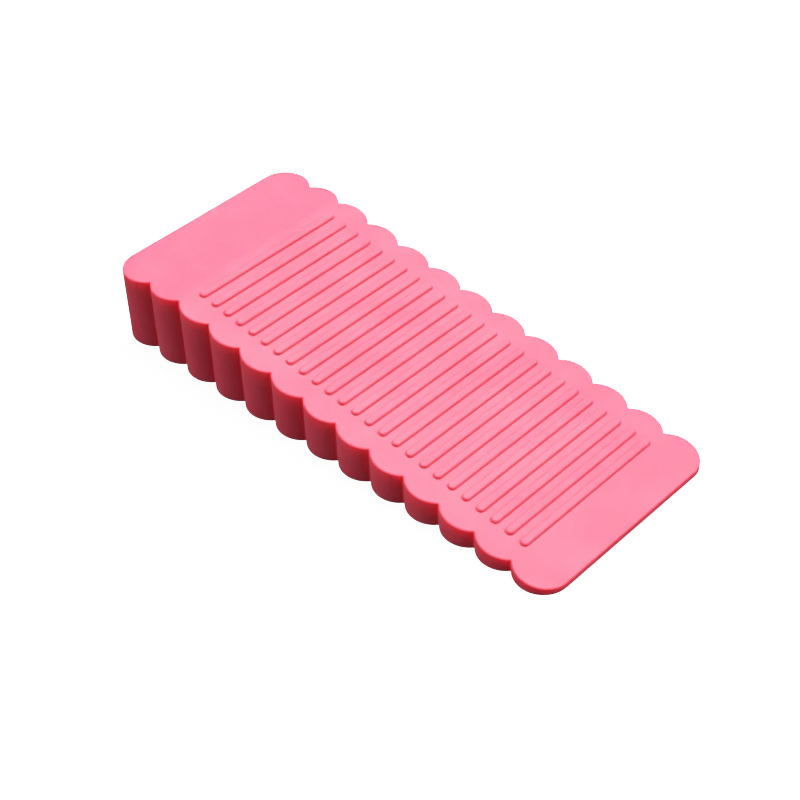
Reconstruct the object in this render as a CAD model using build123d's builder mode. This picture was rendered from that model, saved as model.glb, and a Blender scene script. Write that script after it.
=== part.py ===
from build123d import *
from math import atan2, cos, degrees, hypot, sqrt
import os

# Door wedge: a soft moulded wedge with scalloped sides and a ribbed ramp.
# Millimetres. The origin is the centre of the base, +X runs from the heel (the thick
# end) to the toe (the thin end), and +Z is up.

# Overall sizes
length = 125.0  # heel end to toe end
width = 53.1  # crest to crest of the lobes on the two long sides
heel_height = 18.3  # height of the flat top at the heel
heel_length = 19.3  # length of that flat top
toe_thickness = 1.7  # height of the ramp's surface at the toe end

# Scalloped sides
full_lobes = 11  # on each side, between the two corner lobes
corner_reach = 10.8  # end of the wedge to its nearest notch
lobe_bulge = 2.2  # how far a lobe's crest stands out from the notches
notch_radius = 0.25  # round bottom of each notch

# Soft edges
rim_radius = 0.4  # where the walls meet the top
sole_radius = 0.4  # where the walls meet the base
brow_radius = 15.0  # where the flat heel rolls over into the ramp

# Grip ribs
rib_count = 25
rib_width = 1.9
rib_height = 0.7  # above the ramp, square to it
rib_crown_radius = 0.4  # top edges of a rib
rib_side_margin = 4.2  # end of a rib to the line of the notches
brow_to_first_rib = 3.2  # start of the ramp to the middle of the first rib
last_rib_to_toe = 11.7  # middle of the last rib to the toe end

# Sizes that follow
half_length = length / 2
crest_y = width / 2
notch_y = crest_y - lobe_bulge
first_notch_x = -half_length + corner_reach
lobe_pitch = (length - 2 * corner_reach) / full_lobes

# A corner lobe is the circle that touches the end and the crest line and passes
# through the last notch.
corner_radius = corner_reach + lobe_bulge - sqrt(2 * corner_reach * lobe_bulge)
corner_x = half_length - corner_radius
corner_y = crest_y - corner_radius
corner_angle = degrees(atan2(notch_y - corner_y, -first_notch_x - corner_x))

# The ramp is one plane from the brow down to the toe.
brow_x = -half_length + heel_length
ramp_run = length - heel_length
ramp_drop = heel_height - toe_thickness
ramp = Plane(origin=(brow_x, 0, heel_height), x_dir=(ramp_run, 0, -ramp_drop), z_dir=(ramp_drop, 0, ramp_run))
ramp_stretch = hypot(ramp_run, ramp_drop) / ramp_run  # distance down the ramp per unit of X

rib_length = 2 * (notch_y - rib_side_margin)
rib_pitch = (ramp_run - brow_to_first_rib - last_rib_to_toe) / (rib_count - 1)

os.makedirs("parts", exist_ok=True)

# A wall's normal is level, and the normals of the heel and the ramp are nearly upright.
upright = 0.5

# Wedge body: the scalloped outline raised to the heel's height, then cut off along the
# ramp.
with BuildPart() as wedge_body:
    with BuildSketch():
        with BuildLine():
            Line((-half_length, 0), (-half_length, corner_y))
            CenterArc((-corner_x, corner_y), corner_radius, 180, -corner_angle)
            for lobe in range(full_lobes):
                notch_x = first_notch_x + lobe * lobe_pitch
                ThreePointArc(
                    (notch_x, notch_y),
                    (notch_x + lobe_pitch / 2, crest_y),
                    (notch_x + lobe_pitch, notch_y),
                )
            CenterArc((corner_x, corner_y), corner_radius, 0, corner_angle)
            Line((half_length, corner_y), (half_length, 0))
            mirror(about=Plane.XZ)
        make_face()
    extrude(amount=heel_height)
    notch_rows = wedge_body.edges().filter_by(Axis.Z).group_by(Axis.Y)
    fillet(notch_rows[0] + notch_rows[-1], notch_radius)
    split(bisect_by=ramp, keep=Keep.BOTTOM)
    brow = wedge_body.edges().filter_by(Axis.Y).sort_by_distance(ramp.origin)[0]
    fillet(brow, brow_radius)
    walls = wedge_body.faces().filter_by(lambda face: abs(face.normal_at().Z) < upright)
    tops = wedge_body.faces().filter_by(lambda face: face.normal_at().Z > upright)
    fillet(tops.edges() & walls.edges(), rim_radius)
    sole = wedge_body.faces().sort_by(Axis.Z)[0]
    fillet(sole.edges(), sole_radius)
wedge_body.part.label = "wedge_body"
export_step(wedge_body.part, "parts/wedge_body.step")

# Grip ribs: round-ended bars that stand on the ramp, square to it, from the brow to the
# toe.
for index in range(rib_count):
    down_ramp = (brow_to_first_rib + index * rib_pitch) * ramp_stretch
    with BuildPart() as grip_rib:
        with BuildSketch(ramp):
            with Locations((down_ramp, 0)):
                SlotOverall(rib_length, rib_width, rotation=90)
        extrude(amount=rib_height)
        crown = grip_rib.faces().sort_by(Axis(ramp.origin, ramp.z_dir))[-1]
        fillet(crown.edges(), rib_crown_radius)
    name = f"grip_rib_{index + 1:02d}"
    grip_rib.part.label = name
    export_step(grip_rib.part, f"parts/{name}.step")
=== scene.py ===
# %% [markdown]
# # A moulded silicone door wedge
#
# The object is one soft wedge: a scalloped block, flat at the heel, that falls away along a
# ramp to a thin toe, with a row of low grip ribs across the ramp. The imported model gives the
# true sizes. This lesson models the same wedge again as a clean smooth mesh, flares the roots
# of its ribs into the ramp, and gives it a silicone finish.

# %% Load the frame
import bmesh
import bpy
from math import asin, atan, atan2, degrees, hypot, pi, radians, sin, sqrt, tan
from mathutils import Matrix, Vector


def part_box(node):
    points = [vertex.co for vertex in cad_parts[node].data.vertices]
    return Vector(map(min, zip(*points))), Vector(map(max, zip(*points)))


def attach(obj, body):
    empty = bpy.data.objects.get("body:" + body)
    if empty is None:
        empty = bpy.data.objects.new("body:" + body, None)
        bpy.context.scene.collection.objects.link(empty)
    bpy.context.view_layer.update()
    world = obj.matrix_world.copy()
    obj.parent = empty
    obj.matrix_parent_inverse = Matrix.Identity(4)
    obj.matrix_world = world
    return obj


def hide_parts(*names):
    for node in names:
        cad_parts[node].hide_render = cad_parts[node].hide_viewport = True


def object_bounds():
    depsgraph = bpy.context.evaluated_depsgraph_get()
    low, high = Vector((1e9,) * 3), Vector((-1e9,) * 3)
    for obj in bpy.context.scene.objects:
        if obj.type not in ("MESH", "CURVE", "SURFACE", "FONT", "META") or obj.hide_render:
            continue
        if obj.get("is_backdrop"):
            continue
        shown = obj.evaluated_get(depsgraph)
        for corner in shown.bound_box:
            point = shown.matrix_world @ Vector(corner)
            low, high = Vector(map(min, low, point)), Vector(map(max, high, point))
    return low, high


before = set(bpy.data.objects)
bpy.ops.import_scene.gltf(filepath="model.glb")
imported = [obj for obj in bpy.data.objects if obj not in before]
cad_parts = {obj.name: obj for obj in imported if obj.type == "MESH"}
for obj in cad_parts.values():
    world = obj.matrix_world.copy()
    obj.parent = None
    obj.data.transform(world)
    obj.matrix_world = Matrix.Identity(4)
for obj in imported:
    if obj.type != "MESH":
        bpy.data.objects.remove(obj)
cad_box = [list(corner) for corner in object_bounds()]
mm = 0.001
body_low, body_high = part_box("wedge_body")
print("wedge is", [round(side / mm, 2) for side in body_high - body_low], "mm")

# %% [markdown]
# ## Helpers for working by hand
#
# Operators act on whatever is selected, so each step first deselects everything, then picks
# the piece, and then picks vertices, edges or faces by where they are or which way they face.
# A person would click them. Here a small test function does the clicking.

# %% Pick pieces and parts of pieces
def pick(*pieces):
    bpy.ops.object.select_all(action="DESELECT")
    for piece in pieces:
        piece.select_set(True)
    bpy.context.view_layer.objects.active = pieces[-1]


def edit(piece):
    pick(piece)
    bpy.ops.object.mode_set(mode="EDIT")
    bpy.ops.mesh.select_all(action="DESELECT")


def select_parts(piece, kind, test):
    """In edit mode, select the piece's verts, edges or faces that pass the test."""
    modes = {"verts": "VERT", "edges": "EDGE", "faces": "FACE"}
    bpy.ops.mesh.select_mode(type=modes[kind])
    bpy.ops.mesh.select_all(action="DESELECT")
    shape = bmesh.from_edit_mesh(piece.data)
    chosen = [part for part in getattr(shape, kind) if test(part)]
    for part in chosen:
        part.select_set(True)
    shape.select_flush_mode()
    bmesh.update_edit_mesh(piece.data)
    return len(chosen)


def middle(part):
    return sum((vert.co for vert in part.verts), Vector()) / len(part.verts)


def apply_modifiers(piece):
    pick(piece)
    for modifier in list(piece.modifiers):
        bpy.ops.object.modifier_apply(modifier=modifier.name)


# %% [markdown]
# ## Sizes
#
# The frame gives the box of the wedge. The outline needs a few more sizes, which are those of
# the model: how many lobes, how far they bulge, and where the ramp starts and ends.

# %% Sizes of the wedge
half_length = body_high.x
crest_y = body_high.y
heel_height = body_high.z
full_lobes = 11
corner_reach = 10.8 * mm
lobe_bulge = 2.2 * mm
heel_length = 19.3 * mm
toe_thickness = 1.7 * mm

notch_y = crest_y - lobe_bulge
first_notch_x = corner_reach - half_length
lobe_pitch = (2 * half_length - 2 * corner_reach) / full_lobes
brow_x = heel_length - half_length
ramp_slope = (heel_height - toe_thickness) / (half_length - brow_x)
ramp_angle = atan(ramp_slope)
print("ramp falls at", round(degrees(ramp_angle), 2), "degrees")

# %% [markdown]
# ## A pen
#
# Both the wedge and its ribs start as flat outlines of straights and arcs. Those could be
# typed in as points, but drawing them with a pen is shorter and exact. The pen is one vertex:
# it is extruded along a straight, and spun round the middle of an arc. No operator adds a
# single vertex, so it starts as a tiny plane whose corners are merged.

# %% The pen and its two strokes
def start_pen(name, x, y, z):
    """Add a piece that is one vertex, and leave it selected in edit mode."""
    bpy.ops.object.select_all(action="DESELECT")
    bpy.ops.mesh.primitive_plane_add(size=mm, location=(x, y, z))
    piece = bpy.context.active_object
    piece.name = piece.data.name = name
    bpy.ops.object.transform_apply(location=True)
    bpy.ops.object.mode_set(mode="EDIT")
    bpy.ops.mesh.select_all(action="SELECT")
    bpy.ops.mesh.merge(type="CENTER")
    return piece


def pen_line(x, y):
    bpy.ops.mesh.extrude_region_move(TRANSFORM_OT_translate={"value": (x, y, 0)})


def pen_arc(turn, steps, x, y):
    bpy.ops.mesh.spin(steps=steps, angle=turn, center=(x, y, 0), axis=(0, 0, 1))


# %% [markdown]
# ## The scalloped outline
#
# Each lobe is an arc of one circle, and each corner is a larger turn of another that meets the
# straight end without a kink. Only half of the outline is drawn, from the heel to the toe, and
# a mirror closes the other side.

# %% Draw half of the outline
lobe_radius = ((lobe_pitch / 2) ** 2 + lobe_bulge**2) / (2 * lobe_bulge)
lobe_turn = 2 * asin(lobe_pitch / 2 / lobe_radius)
corner_radius = corner_reach + lobe_bulge - sqrt(2 * corner_reach * lobe_bulge)
corner_x = half_length - corner_radius
corner_y = crest_y - corner_radius
corner_turn = atan2(notch_y - corner_y, -first_notch_x - corner_x)
lobe_steps = 24
corner_steps = 36

wedge = start_pen("scalloped_wedge", -half_length, 0, 0)
pen_line(0, corner_y)
pen_arc(corner_turn, corner_steps, -corner_x, corner_y)
for lobe in range(full_lobes):
    lobe_x = first_notch_x + (lobe + 0.5) * lobe_pitch
    pen_arc(lobe_turn, lobe_steps, lobe_x, crest_y - lobe_radius)
pen_arc(corner_turn, corner_steps, corner_x, corner_y)
pen_line(0, -corner_y)
bpy.ops.object.mode_set(mode="OBJECT")
print("half outline has", len(wedge.data.vertices), "points")

# %% [markdown]
# ## Close it and raise it
#
# A mirror across the wedge's middle gives the other half, and its merge welds the two. The
# closed line is filled with one face and extruded to the heel's height. The bottom of each
# notch has a small round, so the notch corners are bevelled while the outline is still flat,
# where it is one operation on 24 vertices.

# %% Mirror, fill, round the notches and extrude
notch_radius = 0.25 * mm
notch_cutback = notch_radius * tan(lobe_turn / 2)
notch_steps = 5
weld = 0.001 * mm  # points nearer than this are one point

mirror = wedge.modifiers.new("other_side", "MIRROR")
mirror.use_axis = (False, True, False)
mirror.merge_threshold = weld
apply_modifiers(wedge)
edit(wedge)
bpy.ops.mesh.select_all(action="SELECT")
bpy.ops.mesh.remove_doubles(threshold=weld)
bpy.ops.mesh.edge_face_add()


def in_notch(vert):
    steps = (vert.co.x - first_notch_x) / lobe_pitch
    return abs(abs(vert.co.y) - notch_y) < weld and abs(steps - round(steps)) * lobe_pitch < weld


notches = select_parts(wedge, "verts", in_notch)
bpy.ops.mesh.bevel(affect="VERTICES", offset=notch_cutback, segments=notch_steps)
bpy.ops.mesh.select_all(action="SELECT")
bpy.ops.mesh.extrude_region_move(TRANSFORM_OT_translate={"value": (0, 0, heel_height)})
bpy.ops.mesh.select_all(action="SELECT")
bpy.ops.mesh.normals_make_consistent(inside=False)
bpy.ops.object.mode_set(mode="OBJECT")
print(notches, "notches,", len(wedge.data.polygons), "faces")
print("box", [round(side / mm, 3) for side in wedge.dimensions], "mm")

# %% [markdown]
# ## Soft rim and sole
#
# A silicone moulding has no sharp edge: the mould's own edges are eased. The rim and the sole
# are rounded now, while the top is still level, because every edge of each loop is then alike.

# %% Round the rim and the sole
rim_radius = 0.4 * mm
sole_radius = 0.4 * mm
rounding_steps = 6


def level_edge(height):
    return lambda edge: all(abs(vert.co.z - height) < weld for vert in edge.verts)


edit(wedge)
rim_edges = select_parts(wedge, "edges", level_edge(heel_height))
bpy.ops.mesh.bevel(offset=rim_radius, segments=rounding_steps, profile=0.5)
sole_edges = select_parts(wedge, "edges", level_edge(0))
bpy.ops.mesh.bevel(offset=sole_radius, segments=rounding_steps, profile=0.5)
bpy.ops.object.mode_set(mode="OBJECT")
print("rounded", rim_edges, "rim edges and", sole_edges, "sole edges")
print(len(wedge.data.polygons), "faces, box", [round(side / mm, 3) for side in wedge.dimensions], "mm")

# %% [markdown]
# ## Roll the heel over into the ramp
#
# The ramp could be cut off with one plane, but then the brow would be a hard crease and the
# rim would have to be rounded over a corner. So the level top is bent instead, rim and all, as
# a strip is bent over a bar. Lines are scored across the brow. Then, from the line nearest the
# toe back to the heel, everything past each line is turned down by one small step. Turning
# draws the toe back by about a percent, so the ramp is stretched to its full length again.

# %% Score the brow, turn the ramp down and stretch it to the toe
brow_radius = 15 * mm
brow_steps = 8
brow_half = brow_radius * tan(ramp_angle / 2)
brow_turn = asin(ramp_slope) / brow_steps
brow_start = brow_x - brow_half
score_gap = 2 * brow_half / brow_steps
score_lines = [brow_start + score_gap * (step + 0.5) for step in range(brow_steps)]
above_sole = sole_radius + weld

edit(wedge)
for line_x in score_lines:
    select_parts(wedge, "faces", lambda face: middle(face).z > heel_height - rim_radius)
    bpy.ops.mesh.bisect(plane_co=(line_x, 0, 0), plane_no=(1, 0, 0))
for line_x in reversed(score_lines):
    hinge = (line_x, 0, heel_height)
    select_parts(wedge, "verts", lambda vert: vert.co.z > above_sole and vert.co.x > line_x + weld)
    bpy.ops.transform.rotate(value=-brow_turn, orient_axis="Y", center_override=hinge)

shape = bmesh.from_edit_mesh(wedge.data)
toe_x = max(vert.co.x for vert in shape.verts if vert.select)
stretch = (half_length - brow_x) / (toe_x - brow_x)
bpy.ops.transform.resize(value=(stretch, 1, 1), center_override=(brow_x, 0, heel_height))
bpy.ops.object.mode_set(mode="OBJECT")
toe_end = half_length - 2 * rim_radius
toe_top = max(vert.co.z for vert in wedge.data.vertices if vert.co.x > toe_end)
print("stretched by", round(stretch, 5), "toe is", round(toe_top / mm, 3), "mm high")

# %% [markdown]
# ## Shade it smooth
#
# Smooth shading blends normals across every edge, and on its own it would smear the rounding
# over the large flat faces. Weighted normals let the large faces keep their own direction, so
# the flats stay flat and only the rounding turns.

# %% Smooth the wedge
def smooth(piece):
    pick(piece)
    bpy.ops.object.shade_smooth()
    weigh = piece.modifiers.new("weigh_by_area", "WEIGHTED_NORMAL")
    weigh.weight = 100
    weigh.keep_sharp = False
    apply_modifiers(piece)


smooth(wedge)
print(wedge.name, "is smooth, with", len(wedge.data.polygons), "faces")

# %% [markdown]
# ## One grip rib
#
# On the real wedge the ribs are moulded in one with the ramp, so each one is a low round-ended
# bar whose crown is eased and whose root flows into the ramp. A bar could be a stretched
# cylinder, but the pen gives its foot exactly: two straights and two half turns. The foot is a
# thin plate let into the ramp. Its face, which lies just under the ramp's surface, is inset
# and drawn up into the bar.

# %% Draw the first rib, lying along Y with its seat at z = 0
rib_width = 1.9 * mm
rib_height = 0.7 * mm
root_flare = 0.27 * mm  # how far the foot stands out from the bar
seat_depth = 0.05 * mm  # underside of the foot, below the ramp
sink = 0.008 * mm  # face of the foot, below the ramp
end_steps = 16

rib_low, rib_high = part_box("grip_rib_01")
rib_reach = (rib_high.y - rib_low.y - rib_width) / 2
foot_radius = rib_width / 2 + root_flare

rib = start_pen("moulded_rib_01", foot_radius, -rib_reach, -seat_depth)
pen_line(0, 2 * rib_reach)
pen_arc(-pi, end_steps, 0, rib_reach)
pen_line(0, -2 * rib_reach)
pen_arc(-pi, end_steps, 0, -rib_reach)
bpy.ops.mesh.select_all(action="SELECT")
bpy.ops.mesh.remove_doubles(threshold=weld)
bpy.ops.mesh.edge_face_add()
bpy.ops.mesh.extrude_region_move(TRANSFORM_OT_translate={"value": (0, 0, seat_depth - sink)})
bpy.ops.mesh.inset(thickness=root_flare, depth=0)
bpy.ops.mesh.extrude_region_move(TRANSFORM_OT_translate={"value": (0, 0, rib_height + sink)})
bpy.ops.mesh.select_all(action="SELECT")
bpy.ops.mesh.normals_make_consistent(inside=False)
print("bar is", round(2 * rib_reach / mm + rib_width / mm, 2), "mm long")

# %% [markdown]
# The bar still has sharp edges all round. One bevel rounds its crown, and another fills the
# corner at its root. The crown's radius and the flare together can be no more than the rib's
# height, or the two bevels would fold over each other.

# %% Round the crown and fill the root
crown_radius = 0.42 * mm
crown_steps = 6
flare_steps = 5


def from_spine(vert):
    """Distance from the straight line between the middles of the rib's two round ends."""
    return hypot(vert.co.x, max(abs(vert.co.y) - rib_reach, 0))


def on_bar(edge):
    level = abs(edge.verts[0].co.z - edge.verts[1].co.z) < weld
    return level and all(from_spine(vert) < rib_width / 2 + weld for vert in edge.verts)


select_parts(rib, "edges", lambda edge: on_bar(edge) and middle(edge).z > rib_height / 2)
bpy.ops.mesh.bevel(offset=crown_radius, segments=crown_steps)
select_parts(rib, "edges", lambda edge: on_bar(edge) and abs(middle(edge).z + sink) < weld)
bpy.ops.mesh.bevel(offset=root_flare - sink, segments=flare_steps)
bpy.ops.object.mode_set(mode="OBJECT")
print("rib has", len(rib.data.polygons), "faces")
print("box", [round(side / mm, 3) for side in rib.dimensions], "mm")

# %% [markdown]
# ## Twenty-five ribs
#
# The first rib is turned to the ramp's slope and set on its seat, and the others are copies.
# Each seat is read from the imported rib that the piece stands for: a packed rib's lowest edge is
# the foot of its toe side, half a rib's width down the ramp from its middle.

# %% Seat the ribs on the ramp
def place(piece, x, z):
    """Turn the piece to the ramp's slope about Y, move it to its seat, and apply both."""
    piece.matrix_world = Matrix.Translation((x, 0, z)) @ Matrix.Rotation(ramp_angle, 4, "Y")
    pick(piece)
    bpy.ops.object.transform_apply(location=True, rotation=True, scale=True)


smooth(rib)
rib_nodes = sorted(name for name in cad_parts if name.startswith("grip_rib"))
ribs = [rib]
for number in range(2, len(rib_nodes) + 1):
    pick(rib)
    bpy.ops.object.duplicate(linked=False)
    copy = bpy.context.active_object
    copy.name = copy.data.name = f"moulded_rib_{number:02d}"
    ribs.append(copy)
for piece, node in zip(ribs, rib_nodes):
    seat_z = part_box(node)[0].z + rib_width / 2 * sin(ramp_angle)
    seat_x = brow_x + (heel_height - seat_z) / ramp_slope
    place(piece, seat_x, seat_z)
row_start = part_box(rib_nodes[0])[0].x
row_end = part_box(rib_nodes[-1])[1].x
print(len(ribs), "ribs from x =", round(row_start / mm, 2), "to", round(row_end / mm, 2), "mm")

# %% [markdown]
# ## Moulded silicone
#
# The wedge is one compound all through: pigmented silicone rubber, moulded in a tool whose
# faces were blasted. Four things give it away. It is matte, with only a broad soft sheen.
# Light goes a few millimetres into it and comes out redder, so its shaded walls glow deep
# crimson instead of going grey, above all just under the rim. Its surface has the blasted
# tool's fine grain. And the pigment was milled into the rubber, so its pink drifts a little
# from place to place.

# %% Colours and the add-node helper
def colour(hex_code):
    channels = [int(hex_code[i : i + 2], 16) / 255 for i in (1, 3, 5)]
    linear = [c / 12.92 if c <= 0.04045 else ((c + 0.055) / 1.055) ** 2.4 for c in channels]
    return (*linear, 1)


def add_node(tree, kind, settings=None, inputs=None):
    """Add a node, set its own settings, and set or link its inputs."""
    node = tree.nodes.new(kind)
    for name, value in (settings or {}).items():
        setattr(node, name, value)
    for name, value in (inputs or {}).items():
        if isinstance(value, bpy.types.NodeSocket):
            tree.links.new(value, node.inputs[name])
        else:
            node.inputs[name].default_value = value
    return node


# %% [markdown]
# A subsurface shader is what makes rubber look like rubber. Its radius says how far each colour
# travels before it is absorbed: the pigment lets red through for three or four millimetres and
# stops green and blue within half of one. Its weight is the share of the light that goes that
# deep. The rest is turned back at once by pigment close to the surface, which keeps the rim
# from glowing like a lamp. Silicone's own index is 1.41. The blasted grain keeps the sheen
# broad, so the roughness is high, and silicone's oily skin reflects less than plastic does, so
# the specular level is lowered.

# %% Pink silicone
light_reach = (3.5, 0.4, 0.5)  # mm, in red, green and blue

silicone = bpy.data.materials.new("blast_moulded_silicone")
silicone.use_nodes = True
tree = silicone.node_tree
shader = tree.nodes["Principled BSDF"]
shader.subsurface_method = "RANDOM_WALK"
shader.inputs["Subsurface Weight"].default_value = 0.65
shader.inputs["Subsurface Radius"].default_value = light_reach
shader.inputs["Subsurface Scale"].default_value = 1 * mm
shader.inputs["IOR"].default_value = 1.41
shader.inputs["Specular IOR Level"].default_value = 0.3
print("light reaches", light_reach, "mm deep in red, green and blue")

# %% [markdown]
# The pigment's drift is a very soft noise whose patches span about three ribs, between two
# pinks that are hardly apart. The roughness drifts with a smaller noise, as a handled rubber's
# does. A noise texture's scale counts patches per metre on Object coordinates, so each scale
# is one over the patch's real size.

# %% Drift of the pigment and of the sheen
pigment_patch = 12 * mm
handled_patch = 5 * mm

silicone_place = add_node(tree, "ShaderNodeTexCoord").outputs["Object"]
pigment = add_node(
    tree,
    "ShaderNodeTexNoise",
    inputs={"Vector": silicone_place, "Scale": 1 / pigment_patch, "Detail": 2, "Roughness": 0.4},
)
pinks = add_node(tree, "ShaderNodeValToRGB", inputs={"Fac": pigment.outputs["Fac"]})
for stop, position, pink in zip(pinks.color_ramp.elements, (0.3, 0.7), ("#F25066", "#F4586C")):
    stop.position = position
    stop.color = colour(pink)
tree.links.new(pinks.outputs["Color"], shader.inputs["Base Color"])

handled = add_node(
    tree,
    "ShaderNodeTexNoise",
    inputs={"Vector": silicone_place, "Scale": 1 / handled_patch, "Detail": 3},
)
sheen = add_node(
    tree,
    "ShaderNodeMapRange",
    inputs={"Value": handled.outputs["Fac"], "To Min": 0.5, "To Max": 0.62},
)
tree.links.new(sheen.outputs["Result"], shader.inputs["Roughness"])
print("pigment drifts over", round(pigment_patch / mm), "mm, sheen over", round(handled_patch / mm), "mm")

# %% [markdown]
# The grain is a bump, since it is far too fine to model. Grit leaves pits of about 0.1 mm,
# which would vanish at arm's length, so it is drawn more than four times as coarse. The noise
# has several octaves, because blasted pits are never all one size.

# %% Blasted grain
grain_size = 0.45 * mm
grain_depth = 0.035 * mm

pits = add_node(
    tree,
    "ShaderNodeTexNoise",
    inputs={"Vector": silicone_place, "Scale": 1 / grain_size, "Detail": 4, "Roughness": 0.6},
)
grain = add_node(
    tree,
    "ShaderNodeBump",
    inputs={"Height": pits.outputs["Fac"], "Strength": 1, "Distance": grain_depth},
)
tree.links.new(grain.outputs["Normal"], shader.inputs["Normal"])
print("grain is drawn", round(grain_size / mm, 2), "mm wide and", round(grain_depth / mm, 3), "mm deep")

# %% [markdown]
# ## Every piece in its place
#
# On the real wedge all of this is one moulding, so every piece rides on the one rigid body and
# takes the same silicone. The imported solid that each piece was modelled from is hidden.

# %% Give every piece its finish and its body, and hide its imported solid
finished_pieces = [(wedge, "wedge_body"), *zip(ribs, rib_nodes)]
for piece, node in finished_pieces:
    piece.data.materials.clear()
    piece.data.materials.append(silicone)
    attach(piece, "root")
    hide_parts(node)
print(len(finished_pieces), "pieces ride on one body")

# %% [markdown]
# ## Camera
#
# The camera stands less than 40 cm away, off the toe's near corner, and looks down on the
# wedge. A longish lens fills the picture with it, and from so near the toe looks a little
# larger than the heel.

# %% Camera
view_azimuth = radians(44.445)
view_elevation = radians(41.134)
view_roll = radians(-1.864)
view_distance = 376.77 * mm
view_target = Vector((3.03, -3.76, 2.5)) * mm
view_lens = 79.42  # focal length in mm

camera = bpy.data.objects.new("camera", bpy.data.cameras.new("camera"))
bpy.context.scene.collection.objects.link(camera)
camera.data.lens = view_lens
turn = Matrix.Rotation(view_azimuth, 4, "Z") @ Matrix.Rotation(pi / 2 - view_elevation, 4, "X")
turn = turn @ Matrix.Rotation(view_roll, 4, "Z")
camera.matrix_world = Matrix.Translation(view_target) @ turn @ Matrix.Translation((0, 0, view_distance))
bpy.context.scene.camera = camera
print("camera stands at", [round(metres / mm) for metres in camera.matrix_world.translation], "mm")

# %% [markdown]
# ## Floor
#
# The floor is a sheet of white paper on a light table, so it glows by itself and the shadow
# on it stays faint. White paper under the wedge would also throw light up its walls and wash
# out their deep crimson. In a studio the wedge would be raised on glass to stop that. Here the
# paper is simply hidden from the light that leaves the wedge: only the camera sees it. Its
# glow lights nothing, so it is also taken off the list of lamps, which saves some noise.

# %% Floor
floor_side = 4
paper_glow = 1.8


def glowing_white(name, glow):
    """Make a matte white finish that glows by itself, but that isn't counted as a lamp."""
    finish = bpy.data.materials.new(name)
    finish.cycles.emission_sampling = "NONE"
    finish.use_nodes = True
    white = finish.node_tree.nodes["Principled BSDF"]
    white.inputs["Base Color"].default_value = colour("#D2D2D2")
    white.inputs["Roughness"].default_value = 0.9
    white.inputs["Emission Color"].default_value = colour("#FFFFFF")
    white.inputs["Emission Strength"].default_value = glow
    return finish


bpy.ops.object.select_all(action="DESELECT")
bpy.ops.mesh.primitive_plane_add(size=floor_side, location=(0, 0, 0))
floor = bpy.context.active_object
floor.name = floor.data.name = "floor"
floor.visible_diffuse = False
floor.visible_glossy = False
floor.data.materials.append(glowing_white("white_paper", paper_glow))
floor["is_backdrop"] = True
print("paper is", floor_side, "m square")

# %% [markdown]
# ## Tent
#
# Seen from low down, the paper would end at a dark horizon. In a studio a white tent would
# close the set, and a large sphere round the lamps does that here. It glows as white as the
# view can show. It too is seen by the camera alone, so it gives the wedge no light and blocks
# none.

# %% Tent
tent_radius = 6
tent_glow = 4

bpy.ops.object.select_all(action="DESELECT")
bpy.ops.mesh.primitive_uv_sphere_add(segments=64, ring_count=32, radius=tent_radius)
tent = bpy.context.active_object
tent.name = tent.data.name = "tent"
tent.visible_diffuse = False
tent.visible_glossy = False
tent.visible_transmission = False
tent.visible_shadow = False
tent.data.materials.append(glowing_white("white_tent_cloth", tent_glow))
tent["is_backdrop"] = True
print("tent stands", tent_radius, "m off")

# %% [markdown]
# ## Light
#
# Three softboxes light the wedge, and hardly anything else does, so that the walls keep their
# contrast. The key hangs high over the heel and the far side, and lights the top evenly. A
# weaker one stands off the toe's far corner and lights the ribs' toe flanks and the toe wall.
# A small low fill off the heel's near corner grazes the near wall, so each lobe is lit on its
# heel side and falls away to the notch.

# %% Lights and world
room_glow = 0.03


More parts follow.
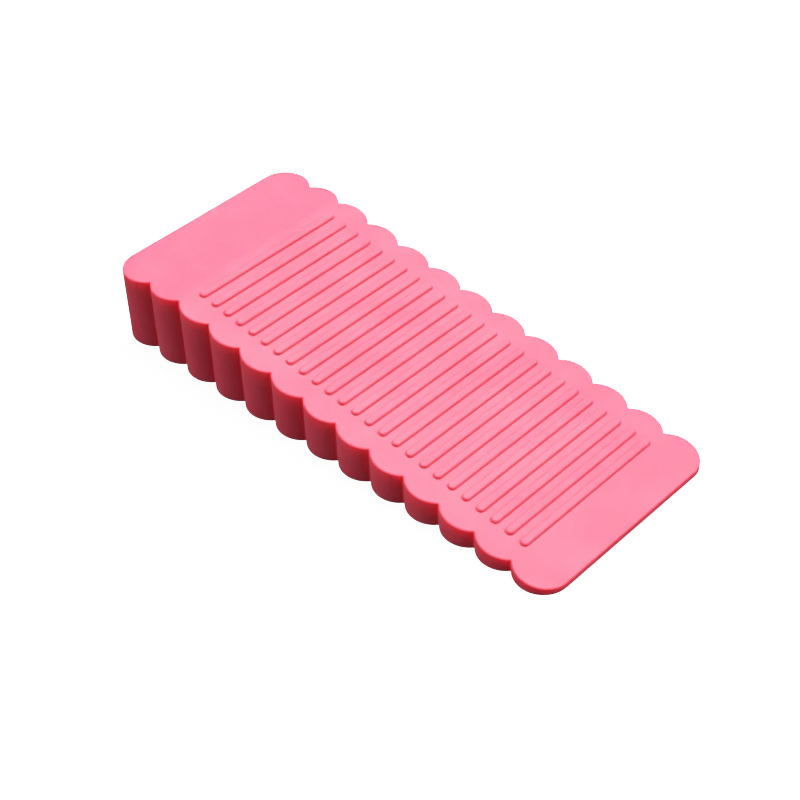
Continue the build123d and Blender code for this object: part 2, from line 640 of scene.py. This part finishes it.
def softbox(name, position, size, power):
    """Hang a round softbox that faces the wedge. Size is metres across, and power is watts."""
    light = bpy.data.objects.new(name, bpy.data.lights.new(name, "AREA"))
    bpy.context.scene.collection.objects.link(light)
    light.data.shape = "DISK"
    light.data.size = size
    light.data.energy = power
    aim = Vector(position).to_track_quat("Z", "Y").to_matrix().to_4x4()
    light.matrix_world = Matrix.Translation(position) @ aim
    print(name, "hangs", round(Vector(position).length, 2), "m from the wedge")


softbox("key_overhead", position=(-0.35, 0.75, 2.8), size=1.6, power=219)
softbox("toe_side", position=(2.0, 1.2, 1.6), size=1.2, power=54)
softbox("heel_fill", position=(-1.45, -2.05, 0.6), size=0.8, power=26)
world = bpy.data.worlds.new("studio")
bpy.context.scene.world = world
world.use_nodes = True
room = world.node_tree.nodes["Background"]
room.inputs["Color"].default_value = (1, 1, 1, 1)
room.inputs["Strength"].default_value = room_glow

# %% [markdown]
# ## Exposure
#
# Strong light on a saturated pink overexposes its red long before its green and blue. The
# standard view cuts each channel off dead at white, which leaves a hard red line wherever the
# light fades, along the rim and the ribs. A camera rolls bright light off in a soft shoulder
# instead. A curve on the view does the same: light up to a half is left as it is, and
# everything above bends gently towards white.

# %% Soft shoulder for the bright end
white_light = 3.5
last_straight_light = 0.5
shoulder_tones = {1.1: 0.88, 1.6: 0.955, 2.2: 0.985}

view = bpy.context.scene.view_settings
view.view_transform = "Standard"
view.use_curve_mapping = True
response = view.curve_mapping
response.white_level = (white_light, white_light, white_light)
shoulder = response.curves[3]  # the curve for all three colours together
shoulder.points.new(last_straight_light / white_light, last_straight_light)
for light, tone in shoulder_tones.items():
    shoulder.points.new(light / white_light, tone)
for point in shoulder.points:
    point.handle_type = "AUTO_CLAMPED"
straight_stretch = list(shoulder.points)[:2]
for point in straight_stretch:
    point.handle_type = "VECTOR"
response.update()
for point in shoulder.points:
    print("light", round(point.location.x * white_light, 2), "shows as", round(point.location.y, 3))

# %% [markdown]
# ## Keep the boxes and finish
#
# The new pieces are meant to stay within the imported model, so both boxes are printed.

# %% Keep the two boxes and finish
visual_box = [list(corner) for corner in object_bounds()]
for name, (low, high) in (("packed", cad_box), ("visual", visual_box)):
    print(name, "model is", [round((b - a) / mm, 2) for a, b in zip(low, high)], "mm")
